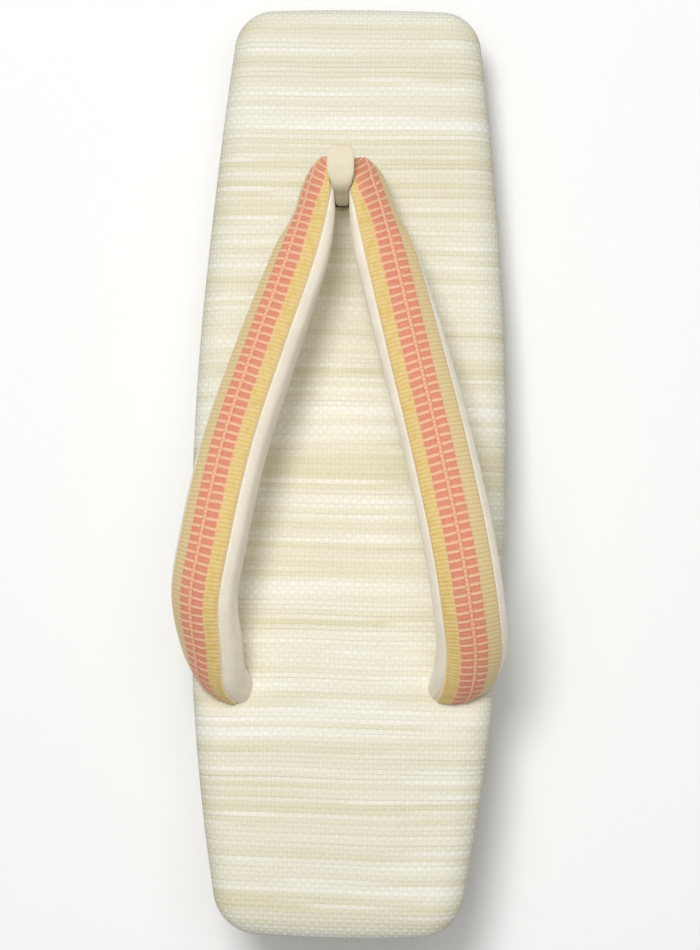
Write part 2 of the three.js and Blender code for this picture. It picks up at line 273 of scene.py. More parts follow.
def triangles(mesh):  # corner numbers of every triangle
    mesh.calc_loop_triangles()
    corners = np.empty(len(mesh.loop_triangles) * 3, np.int32)
    mesh.loop_triangles.foreach_get("vertices", corners)
    return corners.reshape(-1, 3)


def faceOut(mesh):
    places = np.empty(len(mesh.vertices) * 3, np.float32)
    mesh.vertices.foreach_get("co", places)
    a, b, c = np.moveaxis(places.reshape(-1, 3)[triangles(mesh)], 1, 0)
    if np.sum(a * np.cross(b, c)) < 0:
        mesh.flip_normals()


def makePiece(name, points, faces, marks=None):
    mesh = bpy.data.meshes.new(name)
    mesh.from_pydata([tuple(p) for p in np.asarray(points, float) * mm], [], faces)
    mesh.update()
    for title, values in (marks or {}).items():  # kept on the corners, so that a cut carries them along
        corners = np.empty(len(mesh.loops), np.int32)
        mesh.loops.foreach_get("vertex_index", corners)
        layer = mesh.attributes.new(title, "FLOAT_VECTOR", "CORNER")
        layer.data.foreach_set("vector", np.asarray(values, np.float32)[corners].ravel())
    piece = bpy.data.objects.new(name, mesh)
    bpy.context.scene.collection.objects.link(piece)
    faceOut(mesh)
    mesh.shade_smooth()
    return piece


def cutAway(piece, tools):  # cuts the tools' shapes out of a piece; the tools stay
    for tool in tools:
        cut = piece.modifiers.new("cut", "BOOLEAN")
        cut.operation = "DIFFERENCE"
        cut.solver = "EXACT"
        cut.object = tool
    bpy.context.view_layer.update()
    solved = bpy.data.meshes.new_from_object(piece.evaluated_get(bpy.context.evaluated_depsgraph_get()))
    piece.modifiers.clear()
    old = piece.data
    piece.data = solved
    bpy.data.meshes.remove(old)
    piece.data.shade_smooth()


def dropPieces(pieces):
    for piece in pieces:
        mesh = piece.data
        bpy.data.objects.remove(piece)
        bpy.data.meshes.remove(mesh)


def softEdges(piece, degrees):  # sharp edges stay sharp, the rest is smooth
    piece.data.set_sharp_from_angle(angle=math.radians(degrees))


def rung(ring, count, start, columns, marks, lift):
    # flat rows across a ring from its first half to its second, as new points and faces
    half = count // 2
    points, faces, coords = [], [], []
    grid = {}
    for i in range(1, half):
        a, b = ring[i], ring[count - i]
        grid[i, 0], grid[i, columns] = start + i, start + count - i
        for c in range(1, columns):
            share = c / columns
            grid[i, c] = ("new", len(points))
            points.append(a + (b - a) * share)
            coords.append(marks[i] + (marks[count - i] - marks[i]) * share)

    def number(key):
        value = grid[key]
        return lift + value[1] if isinstance(value, tuple) else value
    for c in range(columns):
        faces.append((start, number((1, c)), number((1, c + 1))))
        faces.append((start + half, number((half - 1, c + 1)), number((half - 1, c))))
        for i in range(1, half - 1):
            faces.append((number((i, c)), number((i + 1, c)), number((i + 1, c + 1)), number((i, c + 1))))
    return points, faces, coords


# toe loop in millimetres: z, x, back, front, half width
loop = {
    "rows": [
        (12, -3.05, 68, 71.8, 1.8), (20, -3.05, 68, 71.8, 1.8), (24, -3.05, 68, 73.4, 1.8),
        (28, -2.9, 68.1, 78.6, 1.8), (32, -2.75, 68.3, 80.7, 1.95), (36, -2.55, 68.6, 81.1, 2.15),
        (40, -2.3, 68.9, 81.2, 2.45), (43, -2.15, 69.4, 81.2, 2.75), (45, -2.1, 70.4, 80.9, 3.1),
        (46.2, -2.2, 71.9, 80.1, 3.45), (46.7, -2.25, 73.3, 79.3, 3.5), (47, -2.25, 74.8, 78.3, 3.1),
    ],
    "squareness": 4.6,
    "sides": 64,
    "levels": 96,
    "lowest": 14.2,
    "crest": [(0.82, 0.1), (0.6, 0.16), (0.3, 0.2)],  # share of the top ring, and lift
    "uneven": 0.012,
    "strapRoom": 0.32,  # left free round the strap
    "toolLevels": 40,
    "toolLowest": 11,
    "sharpFrom": 55,
    "hole": {"x": -3.05, "y": 69, "radius": 2.4, "floor": 21.4, "top": 40, "sides": 40},
}


def loopRings(rise, levels, lowest):
    rows = np.array(loop["rows"], float)
    z = np.linspace(lowest, rows[-1, 0], levels)
    x, back, front, half = (columnCurve(rows[:, 0], rows[:, k])(z) for k in range(1, 5))
    angle = np.arange(loop["sides"]) / loop["sides"] * 2 * math.pi
    depth = (front - back) / 2
    ringX = x[:, None] + (half[:, None] + rise) * rounded(np.cos(angle), loop["squareness"])
    ringY = (back + depth)[:, None] + (depth[:, None] + rise) * rounded(np.sin(angle), loop["squareness"])
    lift = np.zeros(levels)
    lift[-1], lift[0] = rise, -rise
    ringZ = np.repeat((z + lift)[:, None], loop["sides"], 1)
    return np.stack([ringX, ringY, ringZ], -1)


def tubePiece(name, rings):  # closed piece through rings, with a fan at both ends
    levels, count = rings.shape[:2]
    points = np.concatenate([rings.reshape(-1, 3), rings[0].mean(0)[None], rings[-1].mean(0)[None]])
    faces = ringFaces(levels, count)
    first, last = levels * count, levels * count + 1
    for i in range(count):
        j = (i + 1) % count
        faces.append((first, j, i))
        faces.append((last, (levels - 1) * count + i, (levels - 1) * count + j))
    return makePiece(name, points, faces)


def loopTool(room):
    return tubePiece("loopTool", loopRings(room, loop["toolLevels"], loop["toolLowest"]))


coarse = strapFrames(strap["toolStep"])
fine = strapFrames(strap["step"])


def strapTool(rise, part):
    chosen = pickFrames(coarse, part(coarse))
    angle = sectionAngles(strap["toolSides"], len(chosen["half"]))
    return tubePiece("strapTool", strapPoints(chosen, angle, rise))


def nearFold(frames):
    return np.abs(frames["walked"]) < strap["foldReach"]


def leftEnd(frames):
    return frames["walked"] < frames["walked"].min() + strap["endReach"]


def rightEnd(frames):
    return frames["walked"] > frames["walked"].max() - strap["endReach"]


def holeTool():
    hole = loop["hole"]
    angle = np.arange(hole["sides"]) / hole["sides"] * 2 * math.pi
    x = hole["x"] + hole["radius"] * np.cos(angle)
    y = hole["y"] + hole["radius"] * np.sin(angle)
    ring = np.column_stack([x, y, 0 * angle])
    return tubePiece("holeTool", np.stack([ring + (0, 0, hole["floor"]), ring + (0, 0, hole["top"])]))


# footbed: cloth over a padded board, rolled over its rim
footbed = {
    "rimReach": (8, 9.5, 7),
    "rimDrop": 5.4,
    "rimSteps": 9,
    "crownInset": (22, 22, 20),
    "crown": 0.9,
    "crownSteps": 16,
    "columns": 40,
    "under": [(3.2, 0), (1, 0.7)],
    "swell": 0.16,  # unevenness of the padding
    "pucker": 0.9,  # cloth drawn down round the strap ends
    "puckerWidth": 2.6,
    "drawnHoles": [  # x, y, radius
        (-28, -56, 6.2), (28, -56, 6.2), (loop["hole"]["x"], loop["hole"]["y"] + 1, 3.2),
    ],
    "strapRoom": 0.05,
    "loopRoom": 0.3,
    "sharpFrom": 50,
}


def puckers(x, y):  # how strongly the cloth is drawn down near the three holes
    total = np.zeros_like(x)
    for holeX, holeY, radius in footbed["drawnHoles"]:
        away = np.maximum(np.hypot(x - holeX, y - holeY) - radius, 0)
        total += np.exp(-(away / footbed["puckerWidth"]) ** 2)
    return total


def buildFootbed():
    spec = footbed
    rings = []
    for step in range(spec["crownSteps"] + 1):  # from the crown out to the start of the roll
        share = 1 - step / spec["crownSteps"]
        inset = [a + (b - a) * share for a, b in zip(spec["rimReach"], spec["crownInset"])]
        rise = spec["crown"] * share
        rings.append(withHeight(soleRing(*inset), lambda y, rise=rise: topHeight(y) + rise))
    for step in range(1, spec["rimSteps"] + 1):
        turn = (1 - step / spec["rimSteps"]) * math.pi / 2
        inset = [reach * (1 - math.cos(turn)) for reach in spec["rimReach"]]
        drop = spec["rimDrop"] * (1 - math.sin(turn))
        rings.append(withHeight(soleRing(*inset), lambda y, drop=drop: topHeight(y) - drop))
    for inset, rise in reversed(spec["under"]):
        ring = soleRing(inset, inset, inset)
        rings.append(withHeight(ring, lambda y, rise=rise: topHeight(y) - sole["boardThickness"] + rise))
    count = len(rings[0])
    side = np.array([ring[count // 4] for ring in rings])  # profile at one side of the sole
    used = np.concatenate([[0], np.cumsum(np.linalg.norm(np.diff(side[:, ::2], axis=0), axis=1))])
    spare = used - used[spec["crownSteps"]] - (side[:, 0] - side[spec["crownSteps"], 0])
    spare[:spec["crownSteps"] + 1] = 0
    weave = [laidFlat(ring, extra) for ring, extra in zip(rings, spare)]
    points = np.concatenate(rings)
    marks = np.concatenate(weave)
    faces = ringFaces(len(rings), count)
    capPoints, capFaces, capMarks = rung(rings[0], count, 0, spec["columns"], weave[0], len(points))
    faces += [face[::-1] for face in capFaces]
    points = np.concatenate([points, capPoints])
    marks = np.concatenate([marks, capMarks])
    base = (len(rings) - 1) * count
    underPoints, underFaces, underMarks = rung(rings[-1], count, base, 6, weave[-1], len(points))
    faces += underFaces
    points = np.concatenate([points, underPoints])
    marks = np.concatenate([marks, underMarks])
    upper = np.clip((points[:, 2] - topHeight(points[:, 1]) + spec["rimDrop"]) / spec["rimDrop"], 0, 1)
    x, y = points[:, 0], points[:, 1]
    points[:, 2] += upper * spec["swell"] * (soft3(x / 9, y / 7, 0 * x, 3) - 0.6)
    points[:, 2] -= upper * spec["pucker"] * puckers(x, y)
    marks[:, 2] = 1 - upper  # how far down the rim
    piece = makePiece("footbedCloth", points, faces, {"weave": marks})
    tools = [strapTool(spec["strapRoom"], leftEnd), strapTool(spec["strapRoom"], rightEnd), holeTool()]
    tools.append(loopTool(spec["loopRoom"]))
    cutAway(piece, tools)
    dropPieces(tools)
    softEdges(piece, spec["sharpFrom"])
    return piece


# side of the sole: the same cloth wrapped round the core
soleSide = {
    "insets": [(1.4, 1.4, 1.4), (2.9, 3.2, 2.6), (3.8, 5, 3.4)],
    "steps": 14,
    "developed": 9,  # length of cloth already used up by the rim above
    "hem": 0.5,
    "sharpFrom": 40,
}


def buildSide():
    spec = soleSide
    gap = sole["gap"]

    def bottom(y):
        return floorHeight(y) + sole["treadThickness"] + gap

    def top(y):
        return topHeight(y) - sole["boardThickness"] - gap
    rings = []
    inside = [a + 3 for a in spec["insets"][0]]
    rings.append(withHeight(soleRing(*inside), top))
    for step in range(spec["steps"] + 1):
        share = step / spec["steps"]
        inset = [np.interp(share, [0, 0.5, 1], [row[k] for row in spec["insets"]]) for k in range(3)]
        edge = spec["hem"] * (max(0, 1 - share * 10) + max(0, 1 - (1 - share) * 10))
        inset = [value + edge for value in inset]
        ring = soleRing(*inset)
        rings.append(withHeight(ring, lambda y, share=share: top(y) + (bottom(y) - top(y)) * share))
    inside = [a + 4 for a in spec["insets"][-1]]
    rings.append(withHeight(soleRing(*inside), bottom))
    count = len(rings[0])
    weave = [laidFlat(ring, spec["developed"] + top(ring[:, 1]) - ring[:, 2]) for ring in rings]
    points, marks = np.concatenate(rings), np.concatenate(weave)
    faces = ringFaces(len(rings), count)
    lastRing = (len(rings) - 1) * count
    caps = ((0, rings[0], weave[0], True), (lastRing, rings[-1], weave[-1], False))
    for base, ring, coords, turned in caps:
        newPoints, newFaces, newMarks = rung(ring, count, base, 4, coords, len(points))
        faces += [face[::-1] for face in newFaces] if turned else newFaces
        points, marks = np.concatenate([points, newPoints]), np.concatenate([marks, newMarks])
    # the whole side takes the full painted rim shade
    marks[:, 2] = 1
    piece = makePiece("soleSideCloth", points, faces, {"weave": marks})
    softEdges(piece, spec["sharpFrom"])
    return piece


# tread under the sole
tread = {
    "floorInset": (4.9, 6.1, 4.5),
    "edgeInset": (4, 5.2, 3.6),
    "topInset": (3.8, 5, 3.4),
    "chamfer": 0.9,
    "chamferSteps": 5,
    "sharpFrom": 40,
}


def soleBlock(name, rings, columns):  # closed piece through rings of the sole, with flat rows at both ends
    count = len(rings[0])
    points = np.concatenate(rings)
    faces = ringFaces(len(rings), count)
    for base, ring, turned in ((0, rings[0], True), ((len(rings) - 1) * count, rings[-1], False)):
        newPoints, newFaces, _ = rung(ring, count, base, columns, ring, len(points))
        faces += [face[::-1] for face in newFaces] if turned else newFaces
        points = np.concatenate([points, newPoints])
    return makePiece(name, points, faces)


def buildTread():
    spec = tread
    rings = []
    for step in range(spec["chamferSteps"] + 1):
        turn = step / spec["chamferSteps"] * math.pi / 2
        inset = [a + (b - a) * math.sin(turn) for a, b in zip(spec["floorInset"], spec["edgeInset"])]
        rise = spec["chamfer"] * (1 - math.cos(turn))
        rings.append(withHeight(soleRing(*inset), lambda y, rise=rise: floorHeight(y) + rise))
    rings.append(withHeight(soleRing(*spec["topInset"]), lambda y: floorHeight(y) + sole["treadThickness"]))
    piece = soleBlock("treadRubber", rings, 8)
    softEdges(piece, spec["sharpFrom"])
    return piece


# braid tape sewn on the strap's outer face, in millimetres
tape = {
    "width": 15.3,
    "step": 0.19,
    "columns": 50,
    "under": 0.32,
    "pitch": 2.24,  # one coral block and one peach bar
    "barShare": 0.34,
    "slant": (0.06, 0.55, 4, 30),  # lean of the bars, what is added near the fold, and from where to where
    "chainHalf": 0.46,
    "coralEdge": (3.6, 3.2),  # towards the inner and the outer border
    "tuck": (1.6, 8, 20),  # inner border taken in near the fold, and from where to where
    "start": 4.2,
    "end": 6,
    "lean": (1.6, 6, 20),  # how far it leans over the inner edge near the fold, and from where to where
    "edgeRise": 0.62,
    "skirt": (0.3, 0.57),  # width and drop of the edge that goes down beside the lining
    "bodyRise": 1.0,
    "coralRise": 1.15,
    "chainRise": 1.4,
    "ribRelief": 0.08,
    "barRelief": 0.12,
    "blockRelief": 0.09,
    "beadRelief": 0.14,
    "furrow": 0.1,
    "loopRoom": 0.25,
    "footbedRoom": 0.2,
    "sharpFrom": 60,
}


def runLength(points):  # length along rows of points, from the first one
    steps = np.linalg.norm(np.diff(points, axis=-2), axis=-1)
    return np.concatenate([np.zeros_like(steps[..., :1]), np.cumsum(steps, -1)], -1)


def sectionArc(frames, rise):  # length round the section from the middle of the face, and the angle there
    angle = np.linspace(math.pi / 2, -math.pi / 2, 361)
    return angle, runLength(strapPoints(frames, np.repeat(angle[None], len(frames["half"]), 0), rise))


def leanAt(frames):
    most, start, end = tape["lean"]
    return most * smoothStep(np.abs(frames["walked"]), end, start)[:, None]


def arcAngles(frames, offsets, rise):  # section angle at each length from the middle of the tape
    angle, arcs = sectionArc(frames, rise)
    offsets = offsets[None] - leanAt(frames)
    result = np.array([np.interp(np.abs(places), arc, angle) for places, arc in zip(offsets, arcs)])
    return np.where(offsets > 0, result, math.pi - result)


def besideTape(frames, angle):  # how far each section angle lies outside the nearer edge of the tape
    grid, arcs = sectionArc(frames, tape["under"])
    fromFace = (angle + math.pi / 2) % (2 * math.pi) - math.pi
    reach = np.array([np.interp(row, math.pi / 2 - grid, arc) for row, arc in zip(np.abs(fromFace), arcs)])
    return np.abs(leanAt(frames) - np.sign(fromFace) * reach) - tape["width"] / 2


def bump01(x):  # one rounded hump for each whole number
    share = x - np.floor(x)
    return 1 - (2 * share - 1) ** 2


def smoothStep(x, low, high):
    t = np.clip((x - low) / (high - low), 0, 1)
    return t * t * (3 - 2 * t)


def tapeRise(across, along):  # height of the weave above the strap's surface
    spec = tape
    far = np.abs(across)
    half = spec["width"] / 2
    most, start, end = spec["tuck"]
    innerEdge, outerEdge = spec["coralEdge"]
    coralEdge = np.where(across > 0, outerEdge, innerEdge + most * smoothStep(along, end, start))
    body = spec["edgeRise"] + (spec["bodyRise"] - spec["edgeRise"]) * smoothStep(half - far, 0, 0.7)
    ribs = spec["ribRelief"] * (bump01(along / spec["pitch"] * 2) - 0.5)
    coral = smoothStep(far - coralEdge, 0.25, -0.2)
    plainSlant, foldSlant, slantStart, slantEnd = spec["slant"]
    slant = plainSlant + foldSlant * smoothStep(along, slantEnd, slantStart)
    phase = (along + slant * across) / spec["pitch"]
    phase = phase - np.floor(phase)
    barStart = 1 - spec["barShare"]
    bar = smoothStep(phase, barStart - 0.06, barStart + 0.06) * smoothStep(1 - phase, 0, 0.08)
    block = spec["coralRise"] - spec["bodyRise"]
    block = block + spec["barRelief"] * bar * bump01((phase - barStart) / spec["barShare"])
    block = block + spec["blockRelief"] * (1 - bar) * bump01(np.minimum(phase / barStart, 0.999))
    chain = smoothStep(far, spec["chainHalf"] + 0.12, spec["chainHalf"] - 0.2)
    bead = bump01(along / spec["pitch"] * 2 + 0.25) - 0.5
    beads = spec["chainRise"] - spec["coralRise"] + spec["beadRelief"] * bead
    rise = body + ribs * (1 - coral) + block * coral + beads * chain
    furrow = np.exp(-((far - coralEdge) / 0.16) ** 2) * 0.5
    furrow = furrow + np.exp(-((far - spec["chainHalf"] - 0.2) / 0.14) ** 2)
    skirtWidth, skirtDrop = spec["skirt"]
    return rise - spec["furrow"] * furrow - skirtDrop * np.clip((far - half) / skirtWidth, 0, 1)


def buildTape(side, name, cutters):
    spec = tape
    frames = strapFrames(spec["step"])
    walked = frames["walked"] * side
    keep = (walked > spec["start"]) & (walked < walked.max() - spec["end"])
    arm = pickFrames(frames, keep)
    middle = strapPoints(arm, arcAngles(arm, np.zeros(1), spec["bodyRise"]), spec["bodyRise"])[:, 0]
    length = runLength(middle)  # measured on the face, so that the pattern keeps its pitch over the bend
    along = length if side > 0 else length[-1] - length
    half = spec["width"] / 2
    edge = half + spec["skirt"][0]
    outer = np.concatenate([[-edge], np.linspace(-half, half, spec["columns"] + 1), [edge]])
    inner = np.linspace(half, -half, 10)
    offsets = np.concatenate([outer, inner])
    angles = arcAngles(arm, offsets, spec["bodyRise"])
    rise = np.concatenate([
        tapeRise(outer[None], along[:, None]),
        np.full((len(along), len(inner)), spec["under"]),
    ], 1)
    rings = strapPoints(arm, angles, rise)
    shape = rise.shape
    marks = np.stack([np.broadcast_to(offsets, shape), np.broadcast_to(along[:, None], shape), rise], -1)
    levels, count = rings.shape[:2]
    faces = ringFaces(levels, count)
    # both ends close with a strip between the outer and the inner row
    for base, turned in ((0, True), ((levels - 1) * count, False)):
        pairs = np.round(np.linspace(0, len(inner) - 1, len(outer))).astype(int)
        for c in range(len(outer) - 1):
            a, b = count - 1 - pairs[c], count - 1 - pairs[c + 1]
            face = [base + c, base + c + 1, base + b] + ([base + a] if a != b else [])
            faces.append(face[::-1] if turned else face)
    piece = makePiece(name, rings.reshape(-1, 3), faces, {"tape": marks.reshape(-1, 3)})
    cutAway(piece, cutters)
    softEdges(piece, spec["sharpFrom"])
    return piece


def footbedTool():  # the footbed's upper face, raised a little, for trimming the tapes
    spec = footbed
    room = tape["footbedRoom"]
    points = (60, 6, 5)  # along a side, round a corner and across half an end
    rings = [withHeight(soleRing(1, 1, 1, *points), lambda y: topHeight(y) - sole["boardThickness"])]
    for step in range(spec["rimSteps"] + 1):
        turn = step / spec["rimSteps"] * math.pi / 2
        inset = [reach * (1 - math.cos(turn)) for reach in spec["rimReach"]]
        drop = spec["rimDrop"] * (1 - math.sin(turn))
        rings.append(withHeight(soleRing(*inset, *points), lambda y, drop=drop: topHeight(y) - drop + room))
    crown = soleRing(*spec["crownInset"], *points)
    rings.append(withHeight(crown, lambda y: topHeight(y) + spec["crown"] + room))
    return soleBlock("footbedTool", rings, 2)


def buildStrap():
    spec = strap
    keep = fine["centre"][:, 2] > spec["endHeight"]
    arm = pickFrames(fine, keep)
    angle = sectionAngles(spec["sides"], len(arm["half"]))
    walked = arm["walked"][:, None]
    # the lining swells along both edges of the tape, and a seam runs under the band
    beyond = besideTape(arm, angle)
    swell = spec["swell"] * smoothStep(beyond, *spec["swellRise"]) * smoothStep(beyond, *spec["swellFade"])
    swell *= smoothStep(np.abs(walked), *spec["swellStart"])
    under = (angle - 1.5 * math.pi) * arm["half"][:, None]
    seam = np.exp(-(under / spec["seamWidth"]) ** 2)
    plain = strapPoints(arm, angle, 0)
    wadding = soft3(plain[..., 0] / 7, plain[..., 1] / 9, plain[..., 2] / 7, 11)
    bends = np.exp(-(np.abs(walked) / spec["bendReach"]) ** 2)
    ripple = np.sin(walked * 2.1 + 2 * np.sin(angle)) * bends * (np.sin(angle) < 0.4)
    rise = swell - spec["seamDepth"] * seam + spec["wadding"] * (wadding - 0.3)
    rise = rise - spec["ripple"] * (1 + ripple) * bends
    return tubePiece("strapLining", strapPoints(arm, angle, rise))


def buildLoop():
    spec = loop
    rings = loopRings(0, spec["levels"], spec["lowest"])
    centre = rings.mean(1, keepdims=True)
    shade = soft3(rings[..., 0] / 2, rings[..., 1] / 2, rings[..., 2] / 2.4, 23)
    rings[..., :2] += (rings - centre)[..., :2] * (spec["uneven"] * (shade - 0.9))[..., None]
    top = rings[-1]
    crest = [(top - top.mean(0)) * share + top.mean(0) + (0, 0, lift) for share, lift in spec["crest"]]
    piece = tubePiece("toeLoopStrip", np.concatenate([rings, crest]))
    tools = [strapTool(spec["strapRoom"], nearFold)]
    cutAway(piece, tools)
    dropPieces(tools)
    softEdges(piece, spec["sharpFrom"])
    return piece


class Socket:  # a node's output that takes part in Python sums
    def __init__(self, paint, node, output):
        self.paint, self.node, self.output = paint, node, output

    def out(self, name):
        return Socket(self.paint, self.node, self.node.outputs[name])

    def __add__(self, other):
        return self.paint.maths("ADD", self, other)

    def __radd__(self, other):
        return self.paint.maths("ADD", other, self)

    def __sub__(self, other):
        return self.paint.maths("SUBTRACT", self, other)

    def __rsub__(self, other):
        return self.paint.maths("SUBTRACT", other, self)

    def __mul__(self, other):
        return self.paint.maths("MULTIPLY", self, other)

    def __rmul__(self, other):
        return self.paint.maths("MULTIPLY", other, self)

    def __truediv__(self, other):
        return self.paint.maths("DIVIDE", self, other)

    def __rtruediv__(self, other):
        return self.paint.maths("DIVIDE", other, self)

    def __mod__(self, other):
        return self.paint.maths("FLOORED_MODULO", self, other)

    def __gt__(self, other):
        return self.paint.maths("GREATER_THAN", self, other)

    def __abs__(self):
        return self.paint.maths("ABSOLUTE", self)

    def __floor__(self):
        return self.paint.maths("FLOOR", self)


class Paint:  # one material and its nodes
    def __init__(self, name, **constants):
        self.material = bpy.data.materials.new(name)
        self.material.use_nodes = True
        self.tree = self.material.node_tree
        self.shader = next(n for n in self.tree.nodes if n.type == "BSDF_PRINCIPLED")
        for socket, value in constants.items():
            self.shader.inputs[socket.replace("_", " ")].default_value = value

    def feed(self, socket, value):
        if isinstance(value, Socket):
            self.tree.links.new(value.output, socket)
        elif value is not None:
            socket.default_value = value

    def node(self, kind, settings=None, sockets=None, out=0):
        made = self.tree.nodes.new(kind)
        for key, value in (settings or {}).items():
            if key == "stops":
                ramp = made.color_ramp
                while len(ramp.elements) < len(value):
                    ramp.elements.new(1)
                for element, (place, tone) in zip(ramp.elements, value):
                    element.position = place
                    element.color = tone
            else:
                setattr(made, key, value)
        for key, value in (sockets or {}).items():
            self.feed(made.inputs[key], value)
        return Socket(self, made, made.outputs[out])

    def maths(self, operation, *values):
        return self.node("ShaderNodeMath", {"operation": operation}, dict(enumerate(values)))

    def mix(self, share, first, second, blend="MIX"):
        return self.node("ShaderNodeMix", {"data_type": "RGBA", "blend_type": blend, "clamp_factor": True},
                         {0: share, 6: first, 7: second}, out=2)

    def vector(self, x, y, z):
        return self.node("ShaderNodeCombineXYZ", {}, {0: x, 1: y, 2: z})

    def noise(self, place, scale, detail=2, roughness=0.5):
        return self.node("ShaderNodeTexNoise", {"noise_dimensions": "3D"},
                         {"Vector": place, "Scale": scale, "Detail": detail, "Roughness": roughness})

    def step(self, value, low, high):  # smooth change from 0 to 1
        return self.node("ShaderNodeMapRange", {"interpolation_type": "SMOOTHSTEP"},
                         {"Value": value, "From Min": low, "From Max": high, "To Min": 0, "To Max": 1})

    def ramp(self, value, stops):
        return self.node("ShaderNodeValToRGB", {"stops": stops}, {0: value})

    def attribute(self, name):
        place = self.node("ShaderNodeAttribute", {"attribute_name": name}, out="Vector")
        split = self.node("ShaderNodeSeparateXYZ", {}, {0: place})
        return split.out("X"), split.out("Y"), split.out("Z")

    def set(self, socket, value):
        self.feed(self.shader.inputs[socket], value)

    def relief(self, height, strength, depth):  # depth in millimetres
        sockets = {"Strength": strength, "Distance": depth * mm, "Height": height}
        self.set("Normal", self.node("ShaderNodeBump", {}, sockets))


def colour(red, green, blue):  # screen colour, 0 to 255, as light
    def light(value):
        value /= 255
        return value / 12.92 if value <= 0.04045 else ((value + 0.055) / 1.055) ** 2.4
    return (light(red), light(green), light(blue), 1)


# plain-woven slub cloth: warp threads run along the sole, weft across it
cloth = {
    "warpPitch": 1.17,
    "weftPitch": 1.25,
    "warp": colour(246, 242, 226),
    "slub": colour(254, 252, 244),
    "tones": [
        (0.35, colour(226, 219, 186)), (0.43, colour(233, 227, 201)), (0.5, colour(239, 234, 214)),
        (0.57, colour(244, 241, 224)), (0.66, colour(250, 248, 239)),
    ],
    "relief": 0.12,
    "rimShade": 0.34,
}


def clothPaint():
    spec = cloth
    p = Paint("slubCloth", Specular_IOR_Level=0.2)
    u, v, rim = p.attribute("weave")
    drift = p.noise(p.vector(u * 0.02, v * 0.02, 0), 1, 1)
    rows = v / spec["weftPitch"] + drift * 1.6
    columns = u / spec["warpPitch"] + p.noise(p.vector(u * 0.05, v * 0.02, 3), 1, 1) * 0.5
    row = math.floor(rows)
    inRow = rows - row - 0.5
    rowArch = 1 - inRow * inRow * 4
    pair = ((columns + row) * 0.5) % 1  # each weft float passes over one warp thread and under the next
    over = p.step(1 - (pair * 2 - 1) * (pair * 2 - 1), 0.4, 0.95)
    inColumn = (columns + 0.5) % 1 - 0.5
    columnArch = 1 - inColumn * inColumn * 4
    height = p.maths("MAXIMUM", rowArch * over, columnArch * (1 - over) * 0.7)
    band = p.noise(p.vector(u * 0.005, rows * 0.27, 1.5), 1, 2)
    streak = p.noise(p.vector(u * 0.01, row * 4.7, 7.5), 1, 2)
    tone = band * 0.55 + streak * 0.45
    weft = p.ramp(tone, spec["tones"])
    slub = p.step(p.noise(p.vector(u * 0.03, row * 7.3, 4.5), 1, 1), 0.56, 0.72)
    weft = p.mix(slub * 0.5, weft, spec["slub"])
    thread = p.mix(over * 0.2 + 0.78, spec["warp"], weft)
    fibre = p.noise(p.vector(u * 2.4, v * 2.8, 0), 1, 3, 0.65)
    # some rows are beaten up less and leave a gap, painted as a thin line of shade
    beat = p.noise(p.vector(u * 0.012, math.floor(rows + 0.5) * 5.9, 2.5), 1, 2)
    gapLine = p.step(abs(inRow), 0.28, 0.5) * p.step(beat, 0.5, 0.66)
    # painted shade: the low parts of the weave between threads are painted darker and the floats lighter
    knot = p.step(height, 0, 0.6) * 0.08 + over * 0.06 + columnArch * 0.05
    knot = knot * (rim * 0.9 + 0.55)  # the painted weave shade is stronger down the rim, where the light grazes
    # rimShade paints the cloth darker down the rim and over the sole's side: painted shade
    shade = knot + fibre * 0.52 - gapLine * 0.12 - rim * spec["rimShade"] + 0.625
    p.set("Base Color", p.mix(1, thread, p.vector(shade, shade, shade * 0.985), "MULTIPLY"))
    p.set("Roughness", 0.9 - height * 0.12)
    p.relief(height + fibre * 0.3, 0.8, spec["relief"])
    return p.material


# off-white lining with a short nap
nap = {
    "pale": colour(245, 237, 219),
    "deep": colour(232, 222, 203),
    "loopPale": colour(238, 229, 203),
    "loopDeep": colour(226, 214, 184),
    "relief": 0.1,
}


def napPaint(name, pale, deep):
    p = Paint(name, Sheen_Weight=0.35, Sheen_Roughness=0.4, Specular_IOR_Level=0.15)
    place = p.node("ShaderNodeTexCoord", {}, {}, out="Object")
    fuzz = p.noise(place, 2600, 3, 0.6)
    patch = p.noise(place, 240, 2)
    broad = p.noise(place, 60, 1)
    tone = p.step(patch * 0.3 + fuzz * 0.45 + broad * 0.25, 0.32, 0.66)
    p.set("Base Color", p.mix(tone, deep, pale))
    p.set("Roughness", 0.98 - patch * 0.1)
    p.relief(fuzz * 0.8 + patch * 0.3, 0.5, nap["relief"])
    return p.material


# braid yarns, with painted shade and highlight colours among them
yarn = {
    "coral": colour(232, 154, 125),
    "coralDeep": colour(219, 138, 110),
    "coralDull": colour(217, 156, 130),
    "peach": colour(243, 192, 156),
    # outer border: the yellow painted darker and duller, as painted shade on the side facing away from the
    # light
    "outer": colour(226, 204, 152),
    "outerShadedDeep": colour(207, 181, 128),
    "selvedgeAndHighlight": colour(243, 228, 200),
    "yellow": colour(233, 206, 138),
    "yellowDeep": colour(213, 180, 110),
    "gold": colour(228, 196, 118),
    "furrow": colour(196, 122, 92),
}


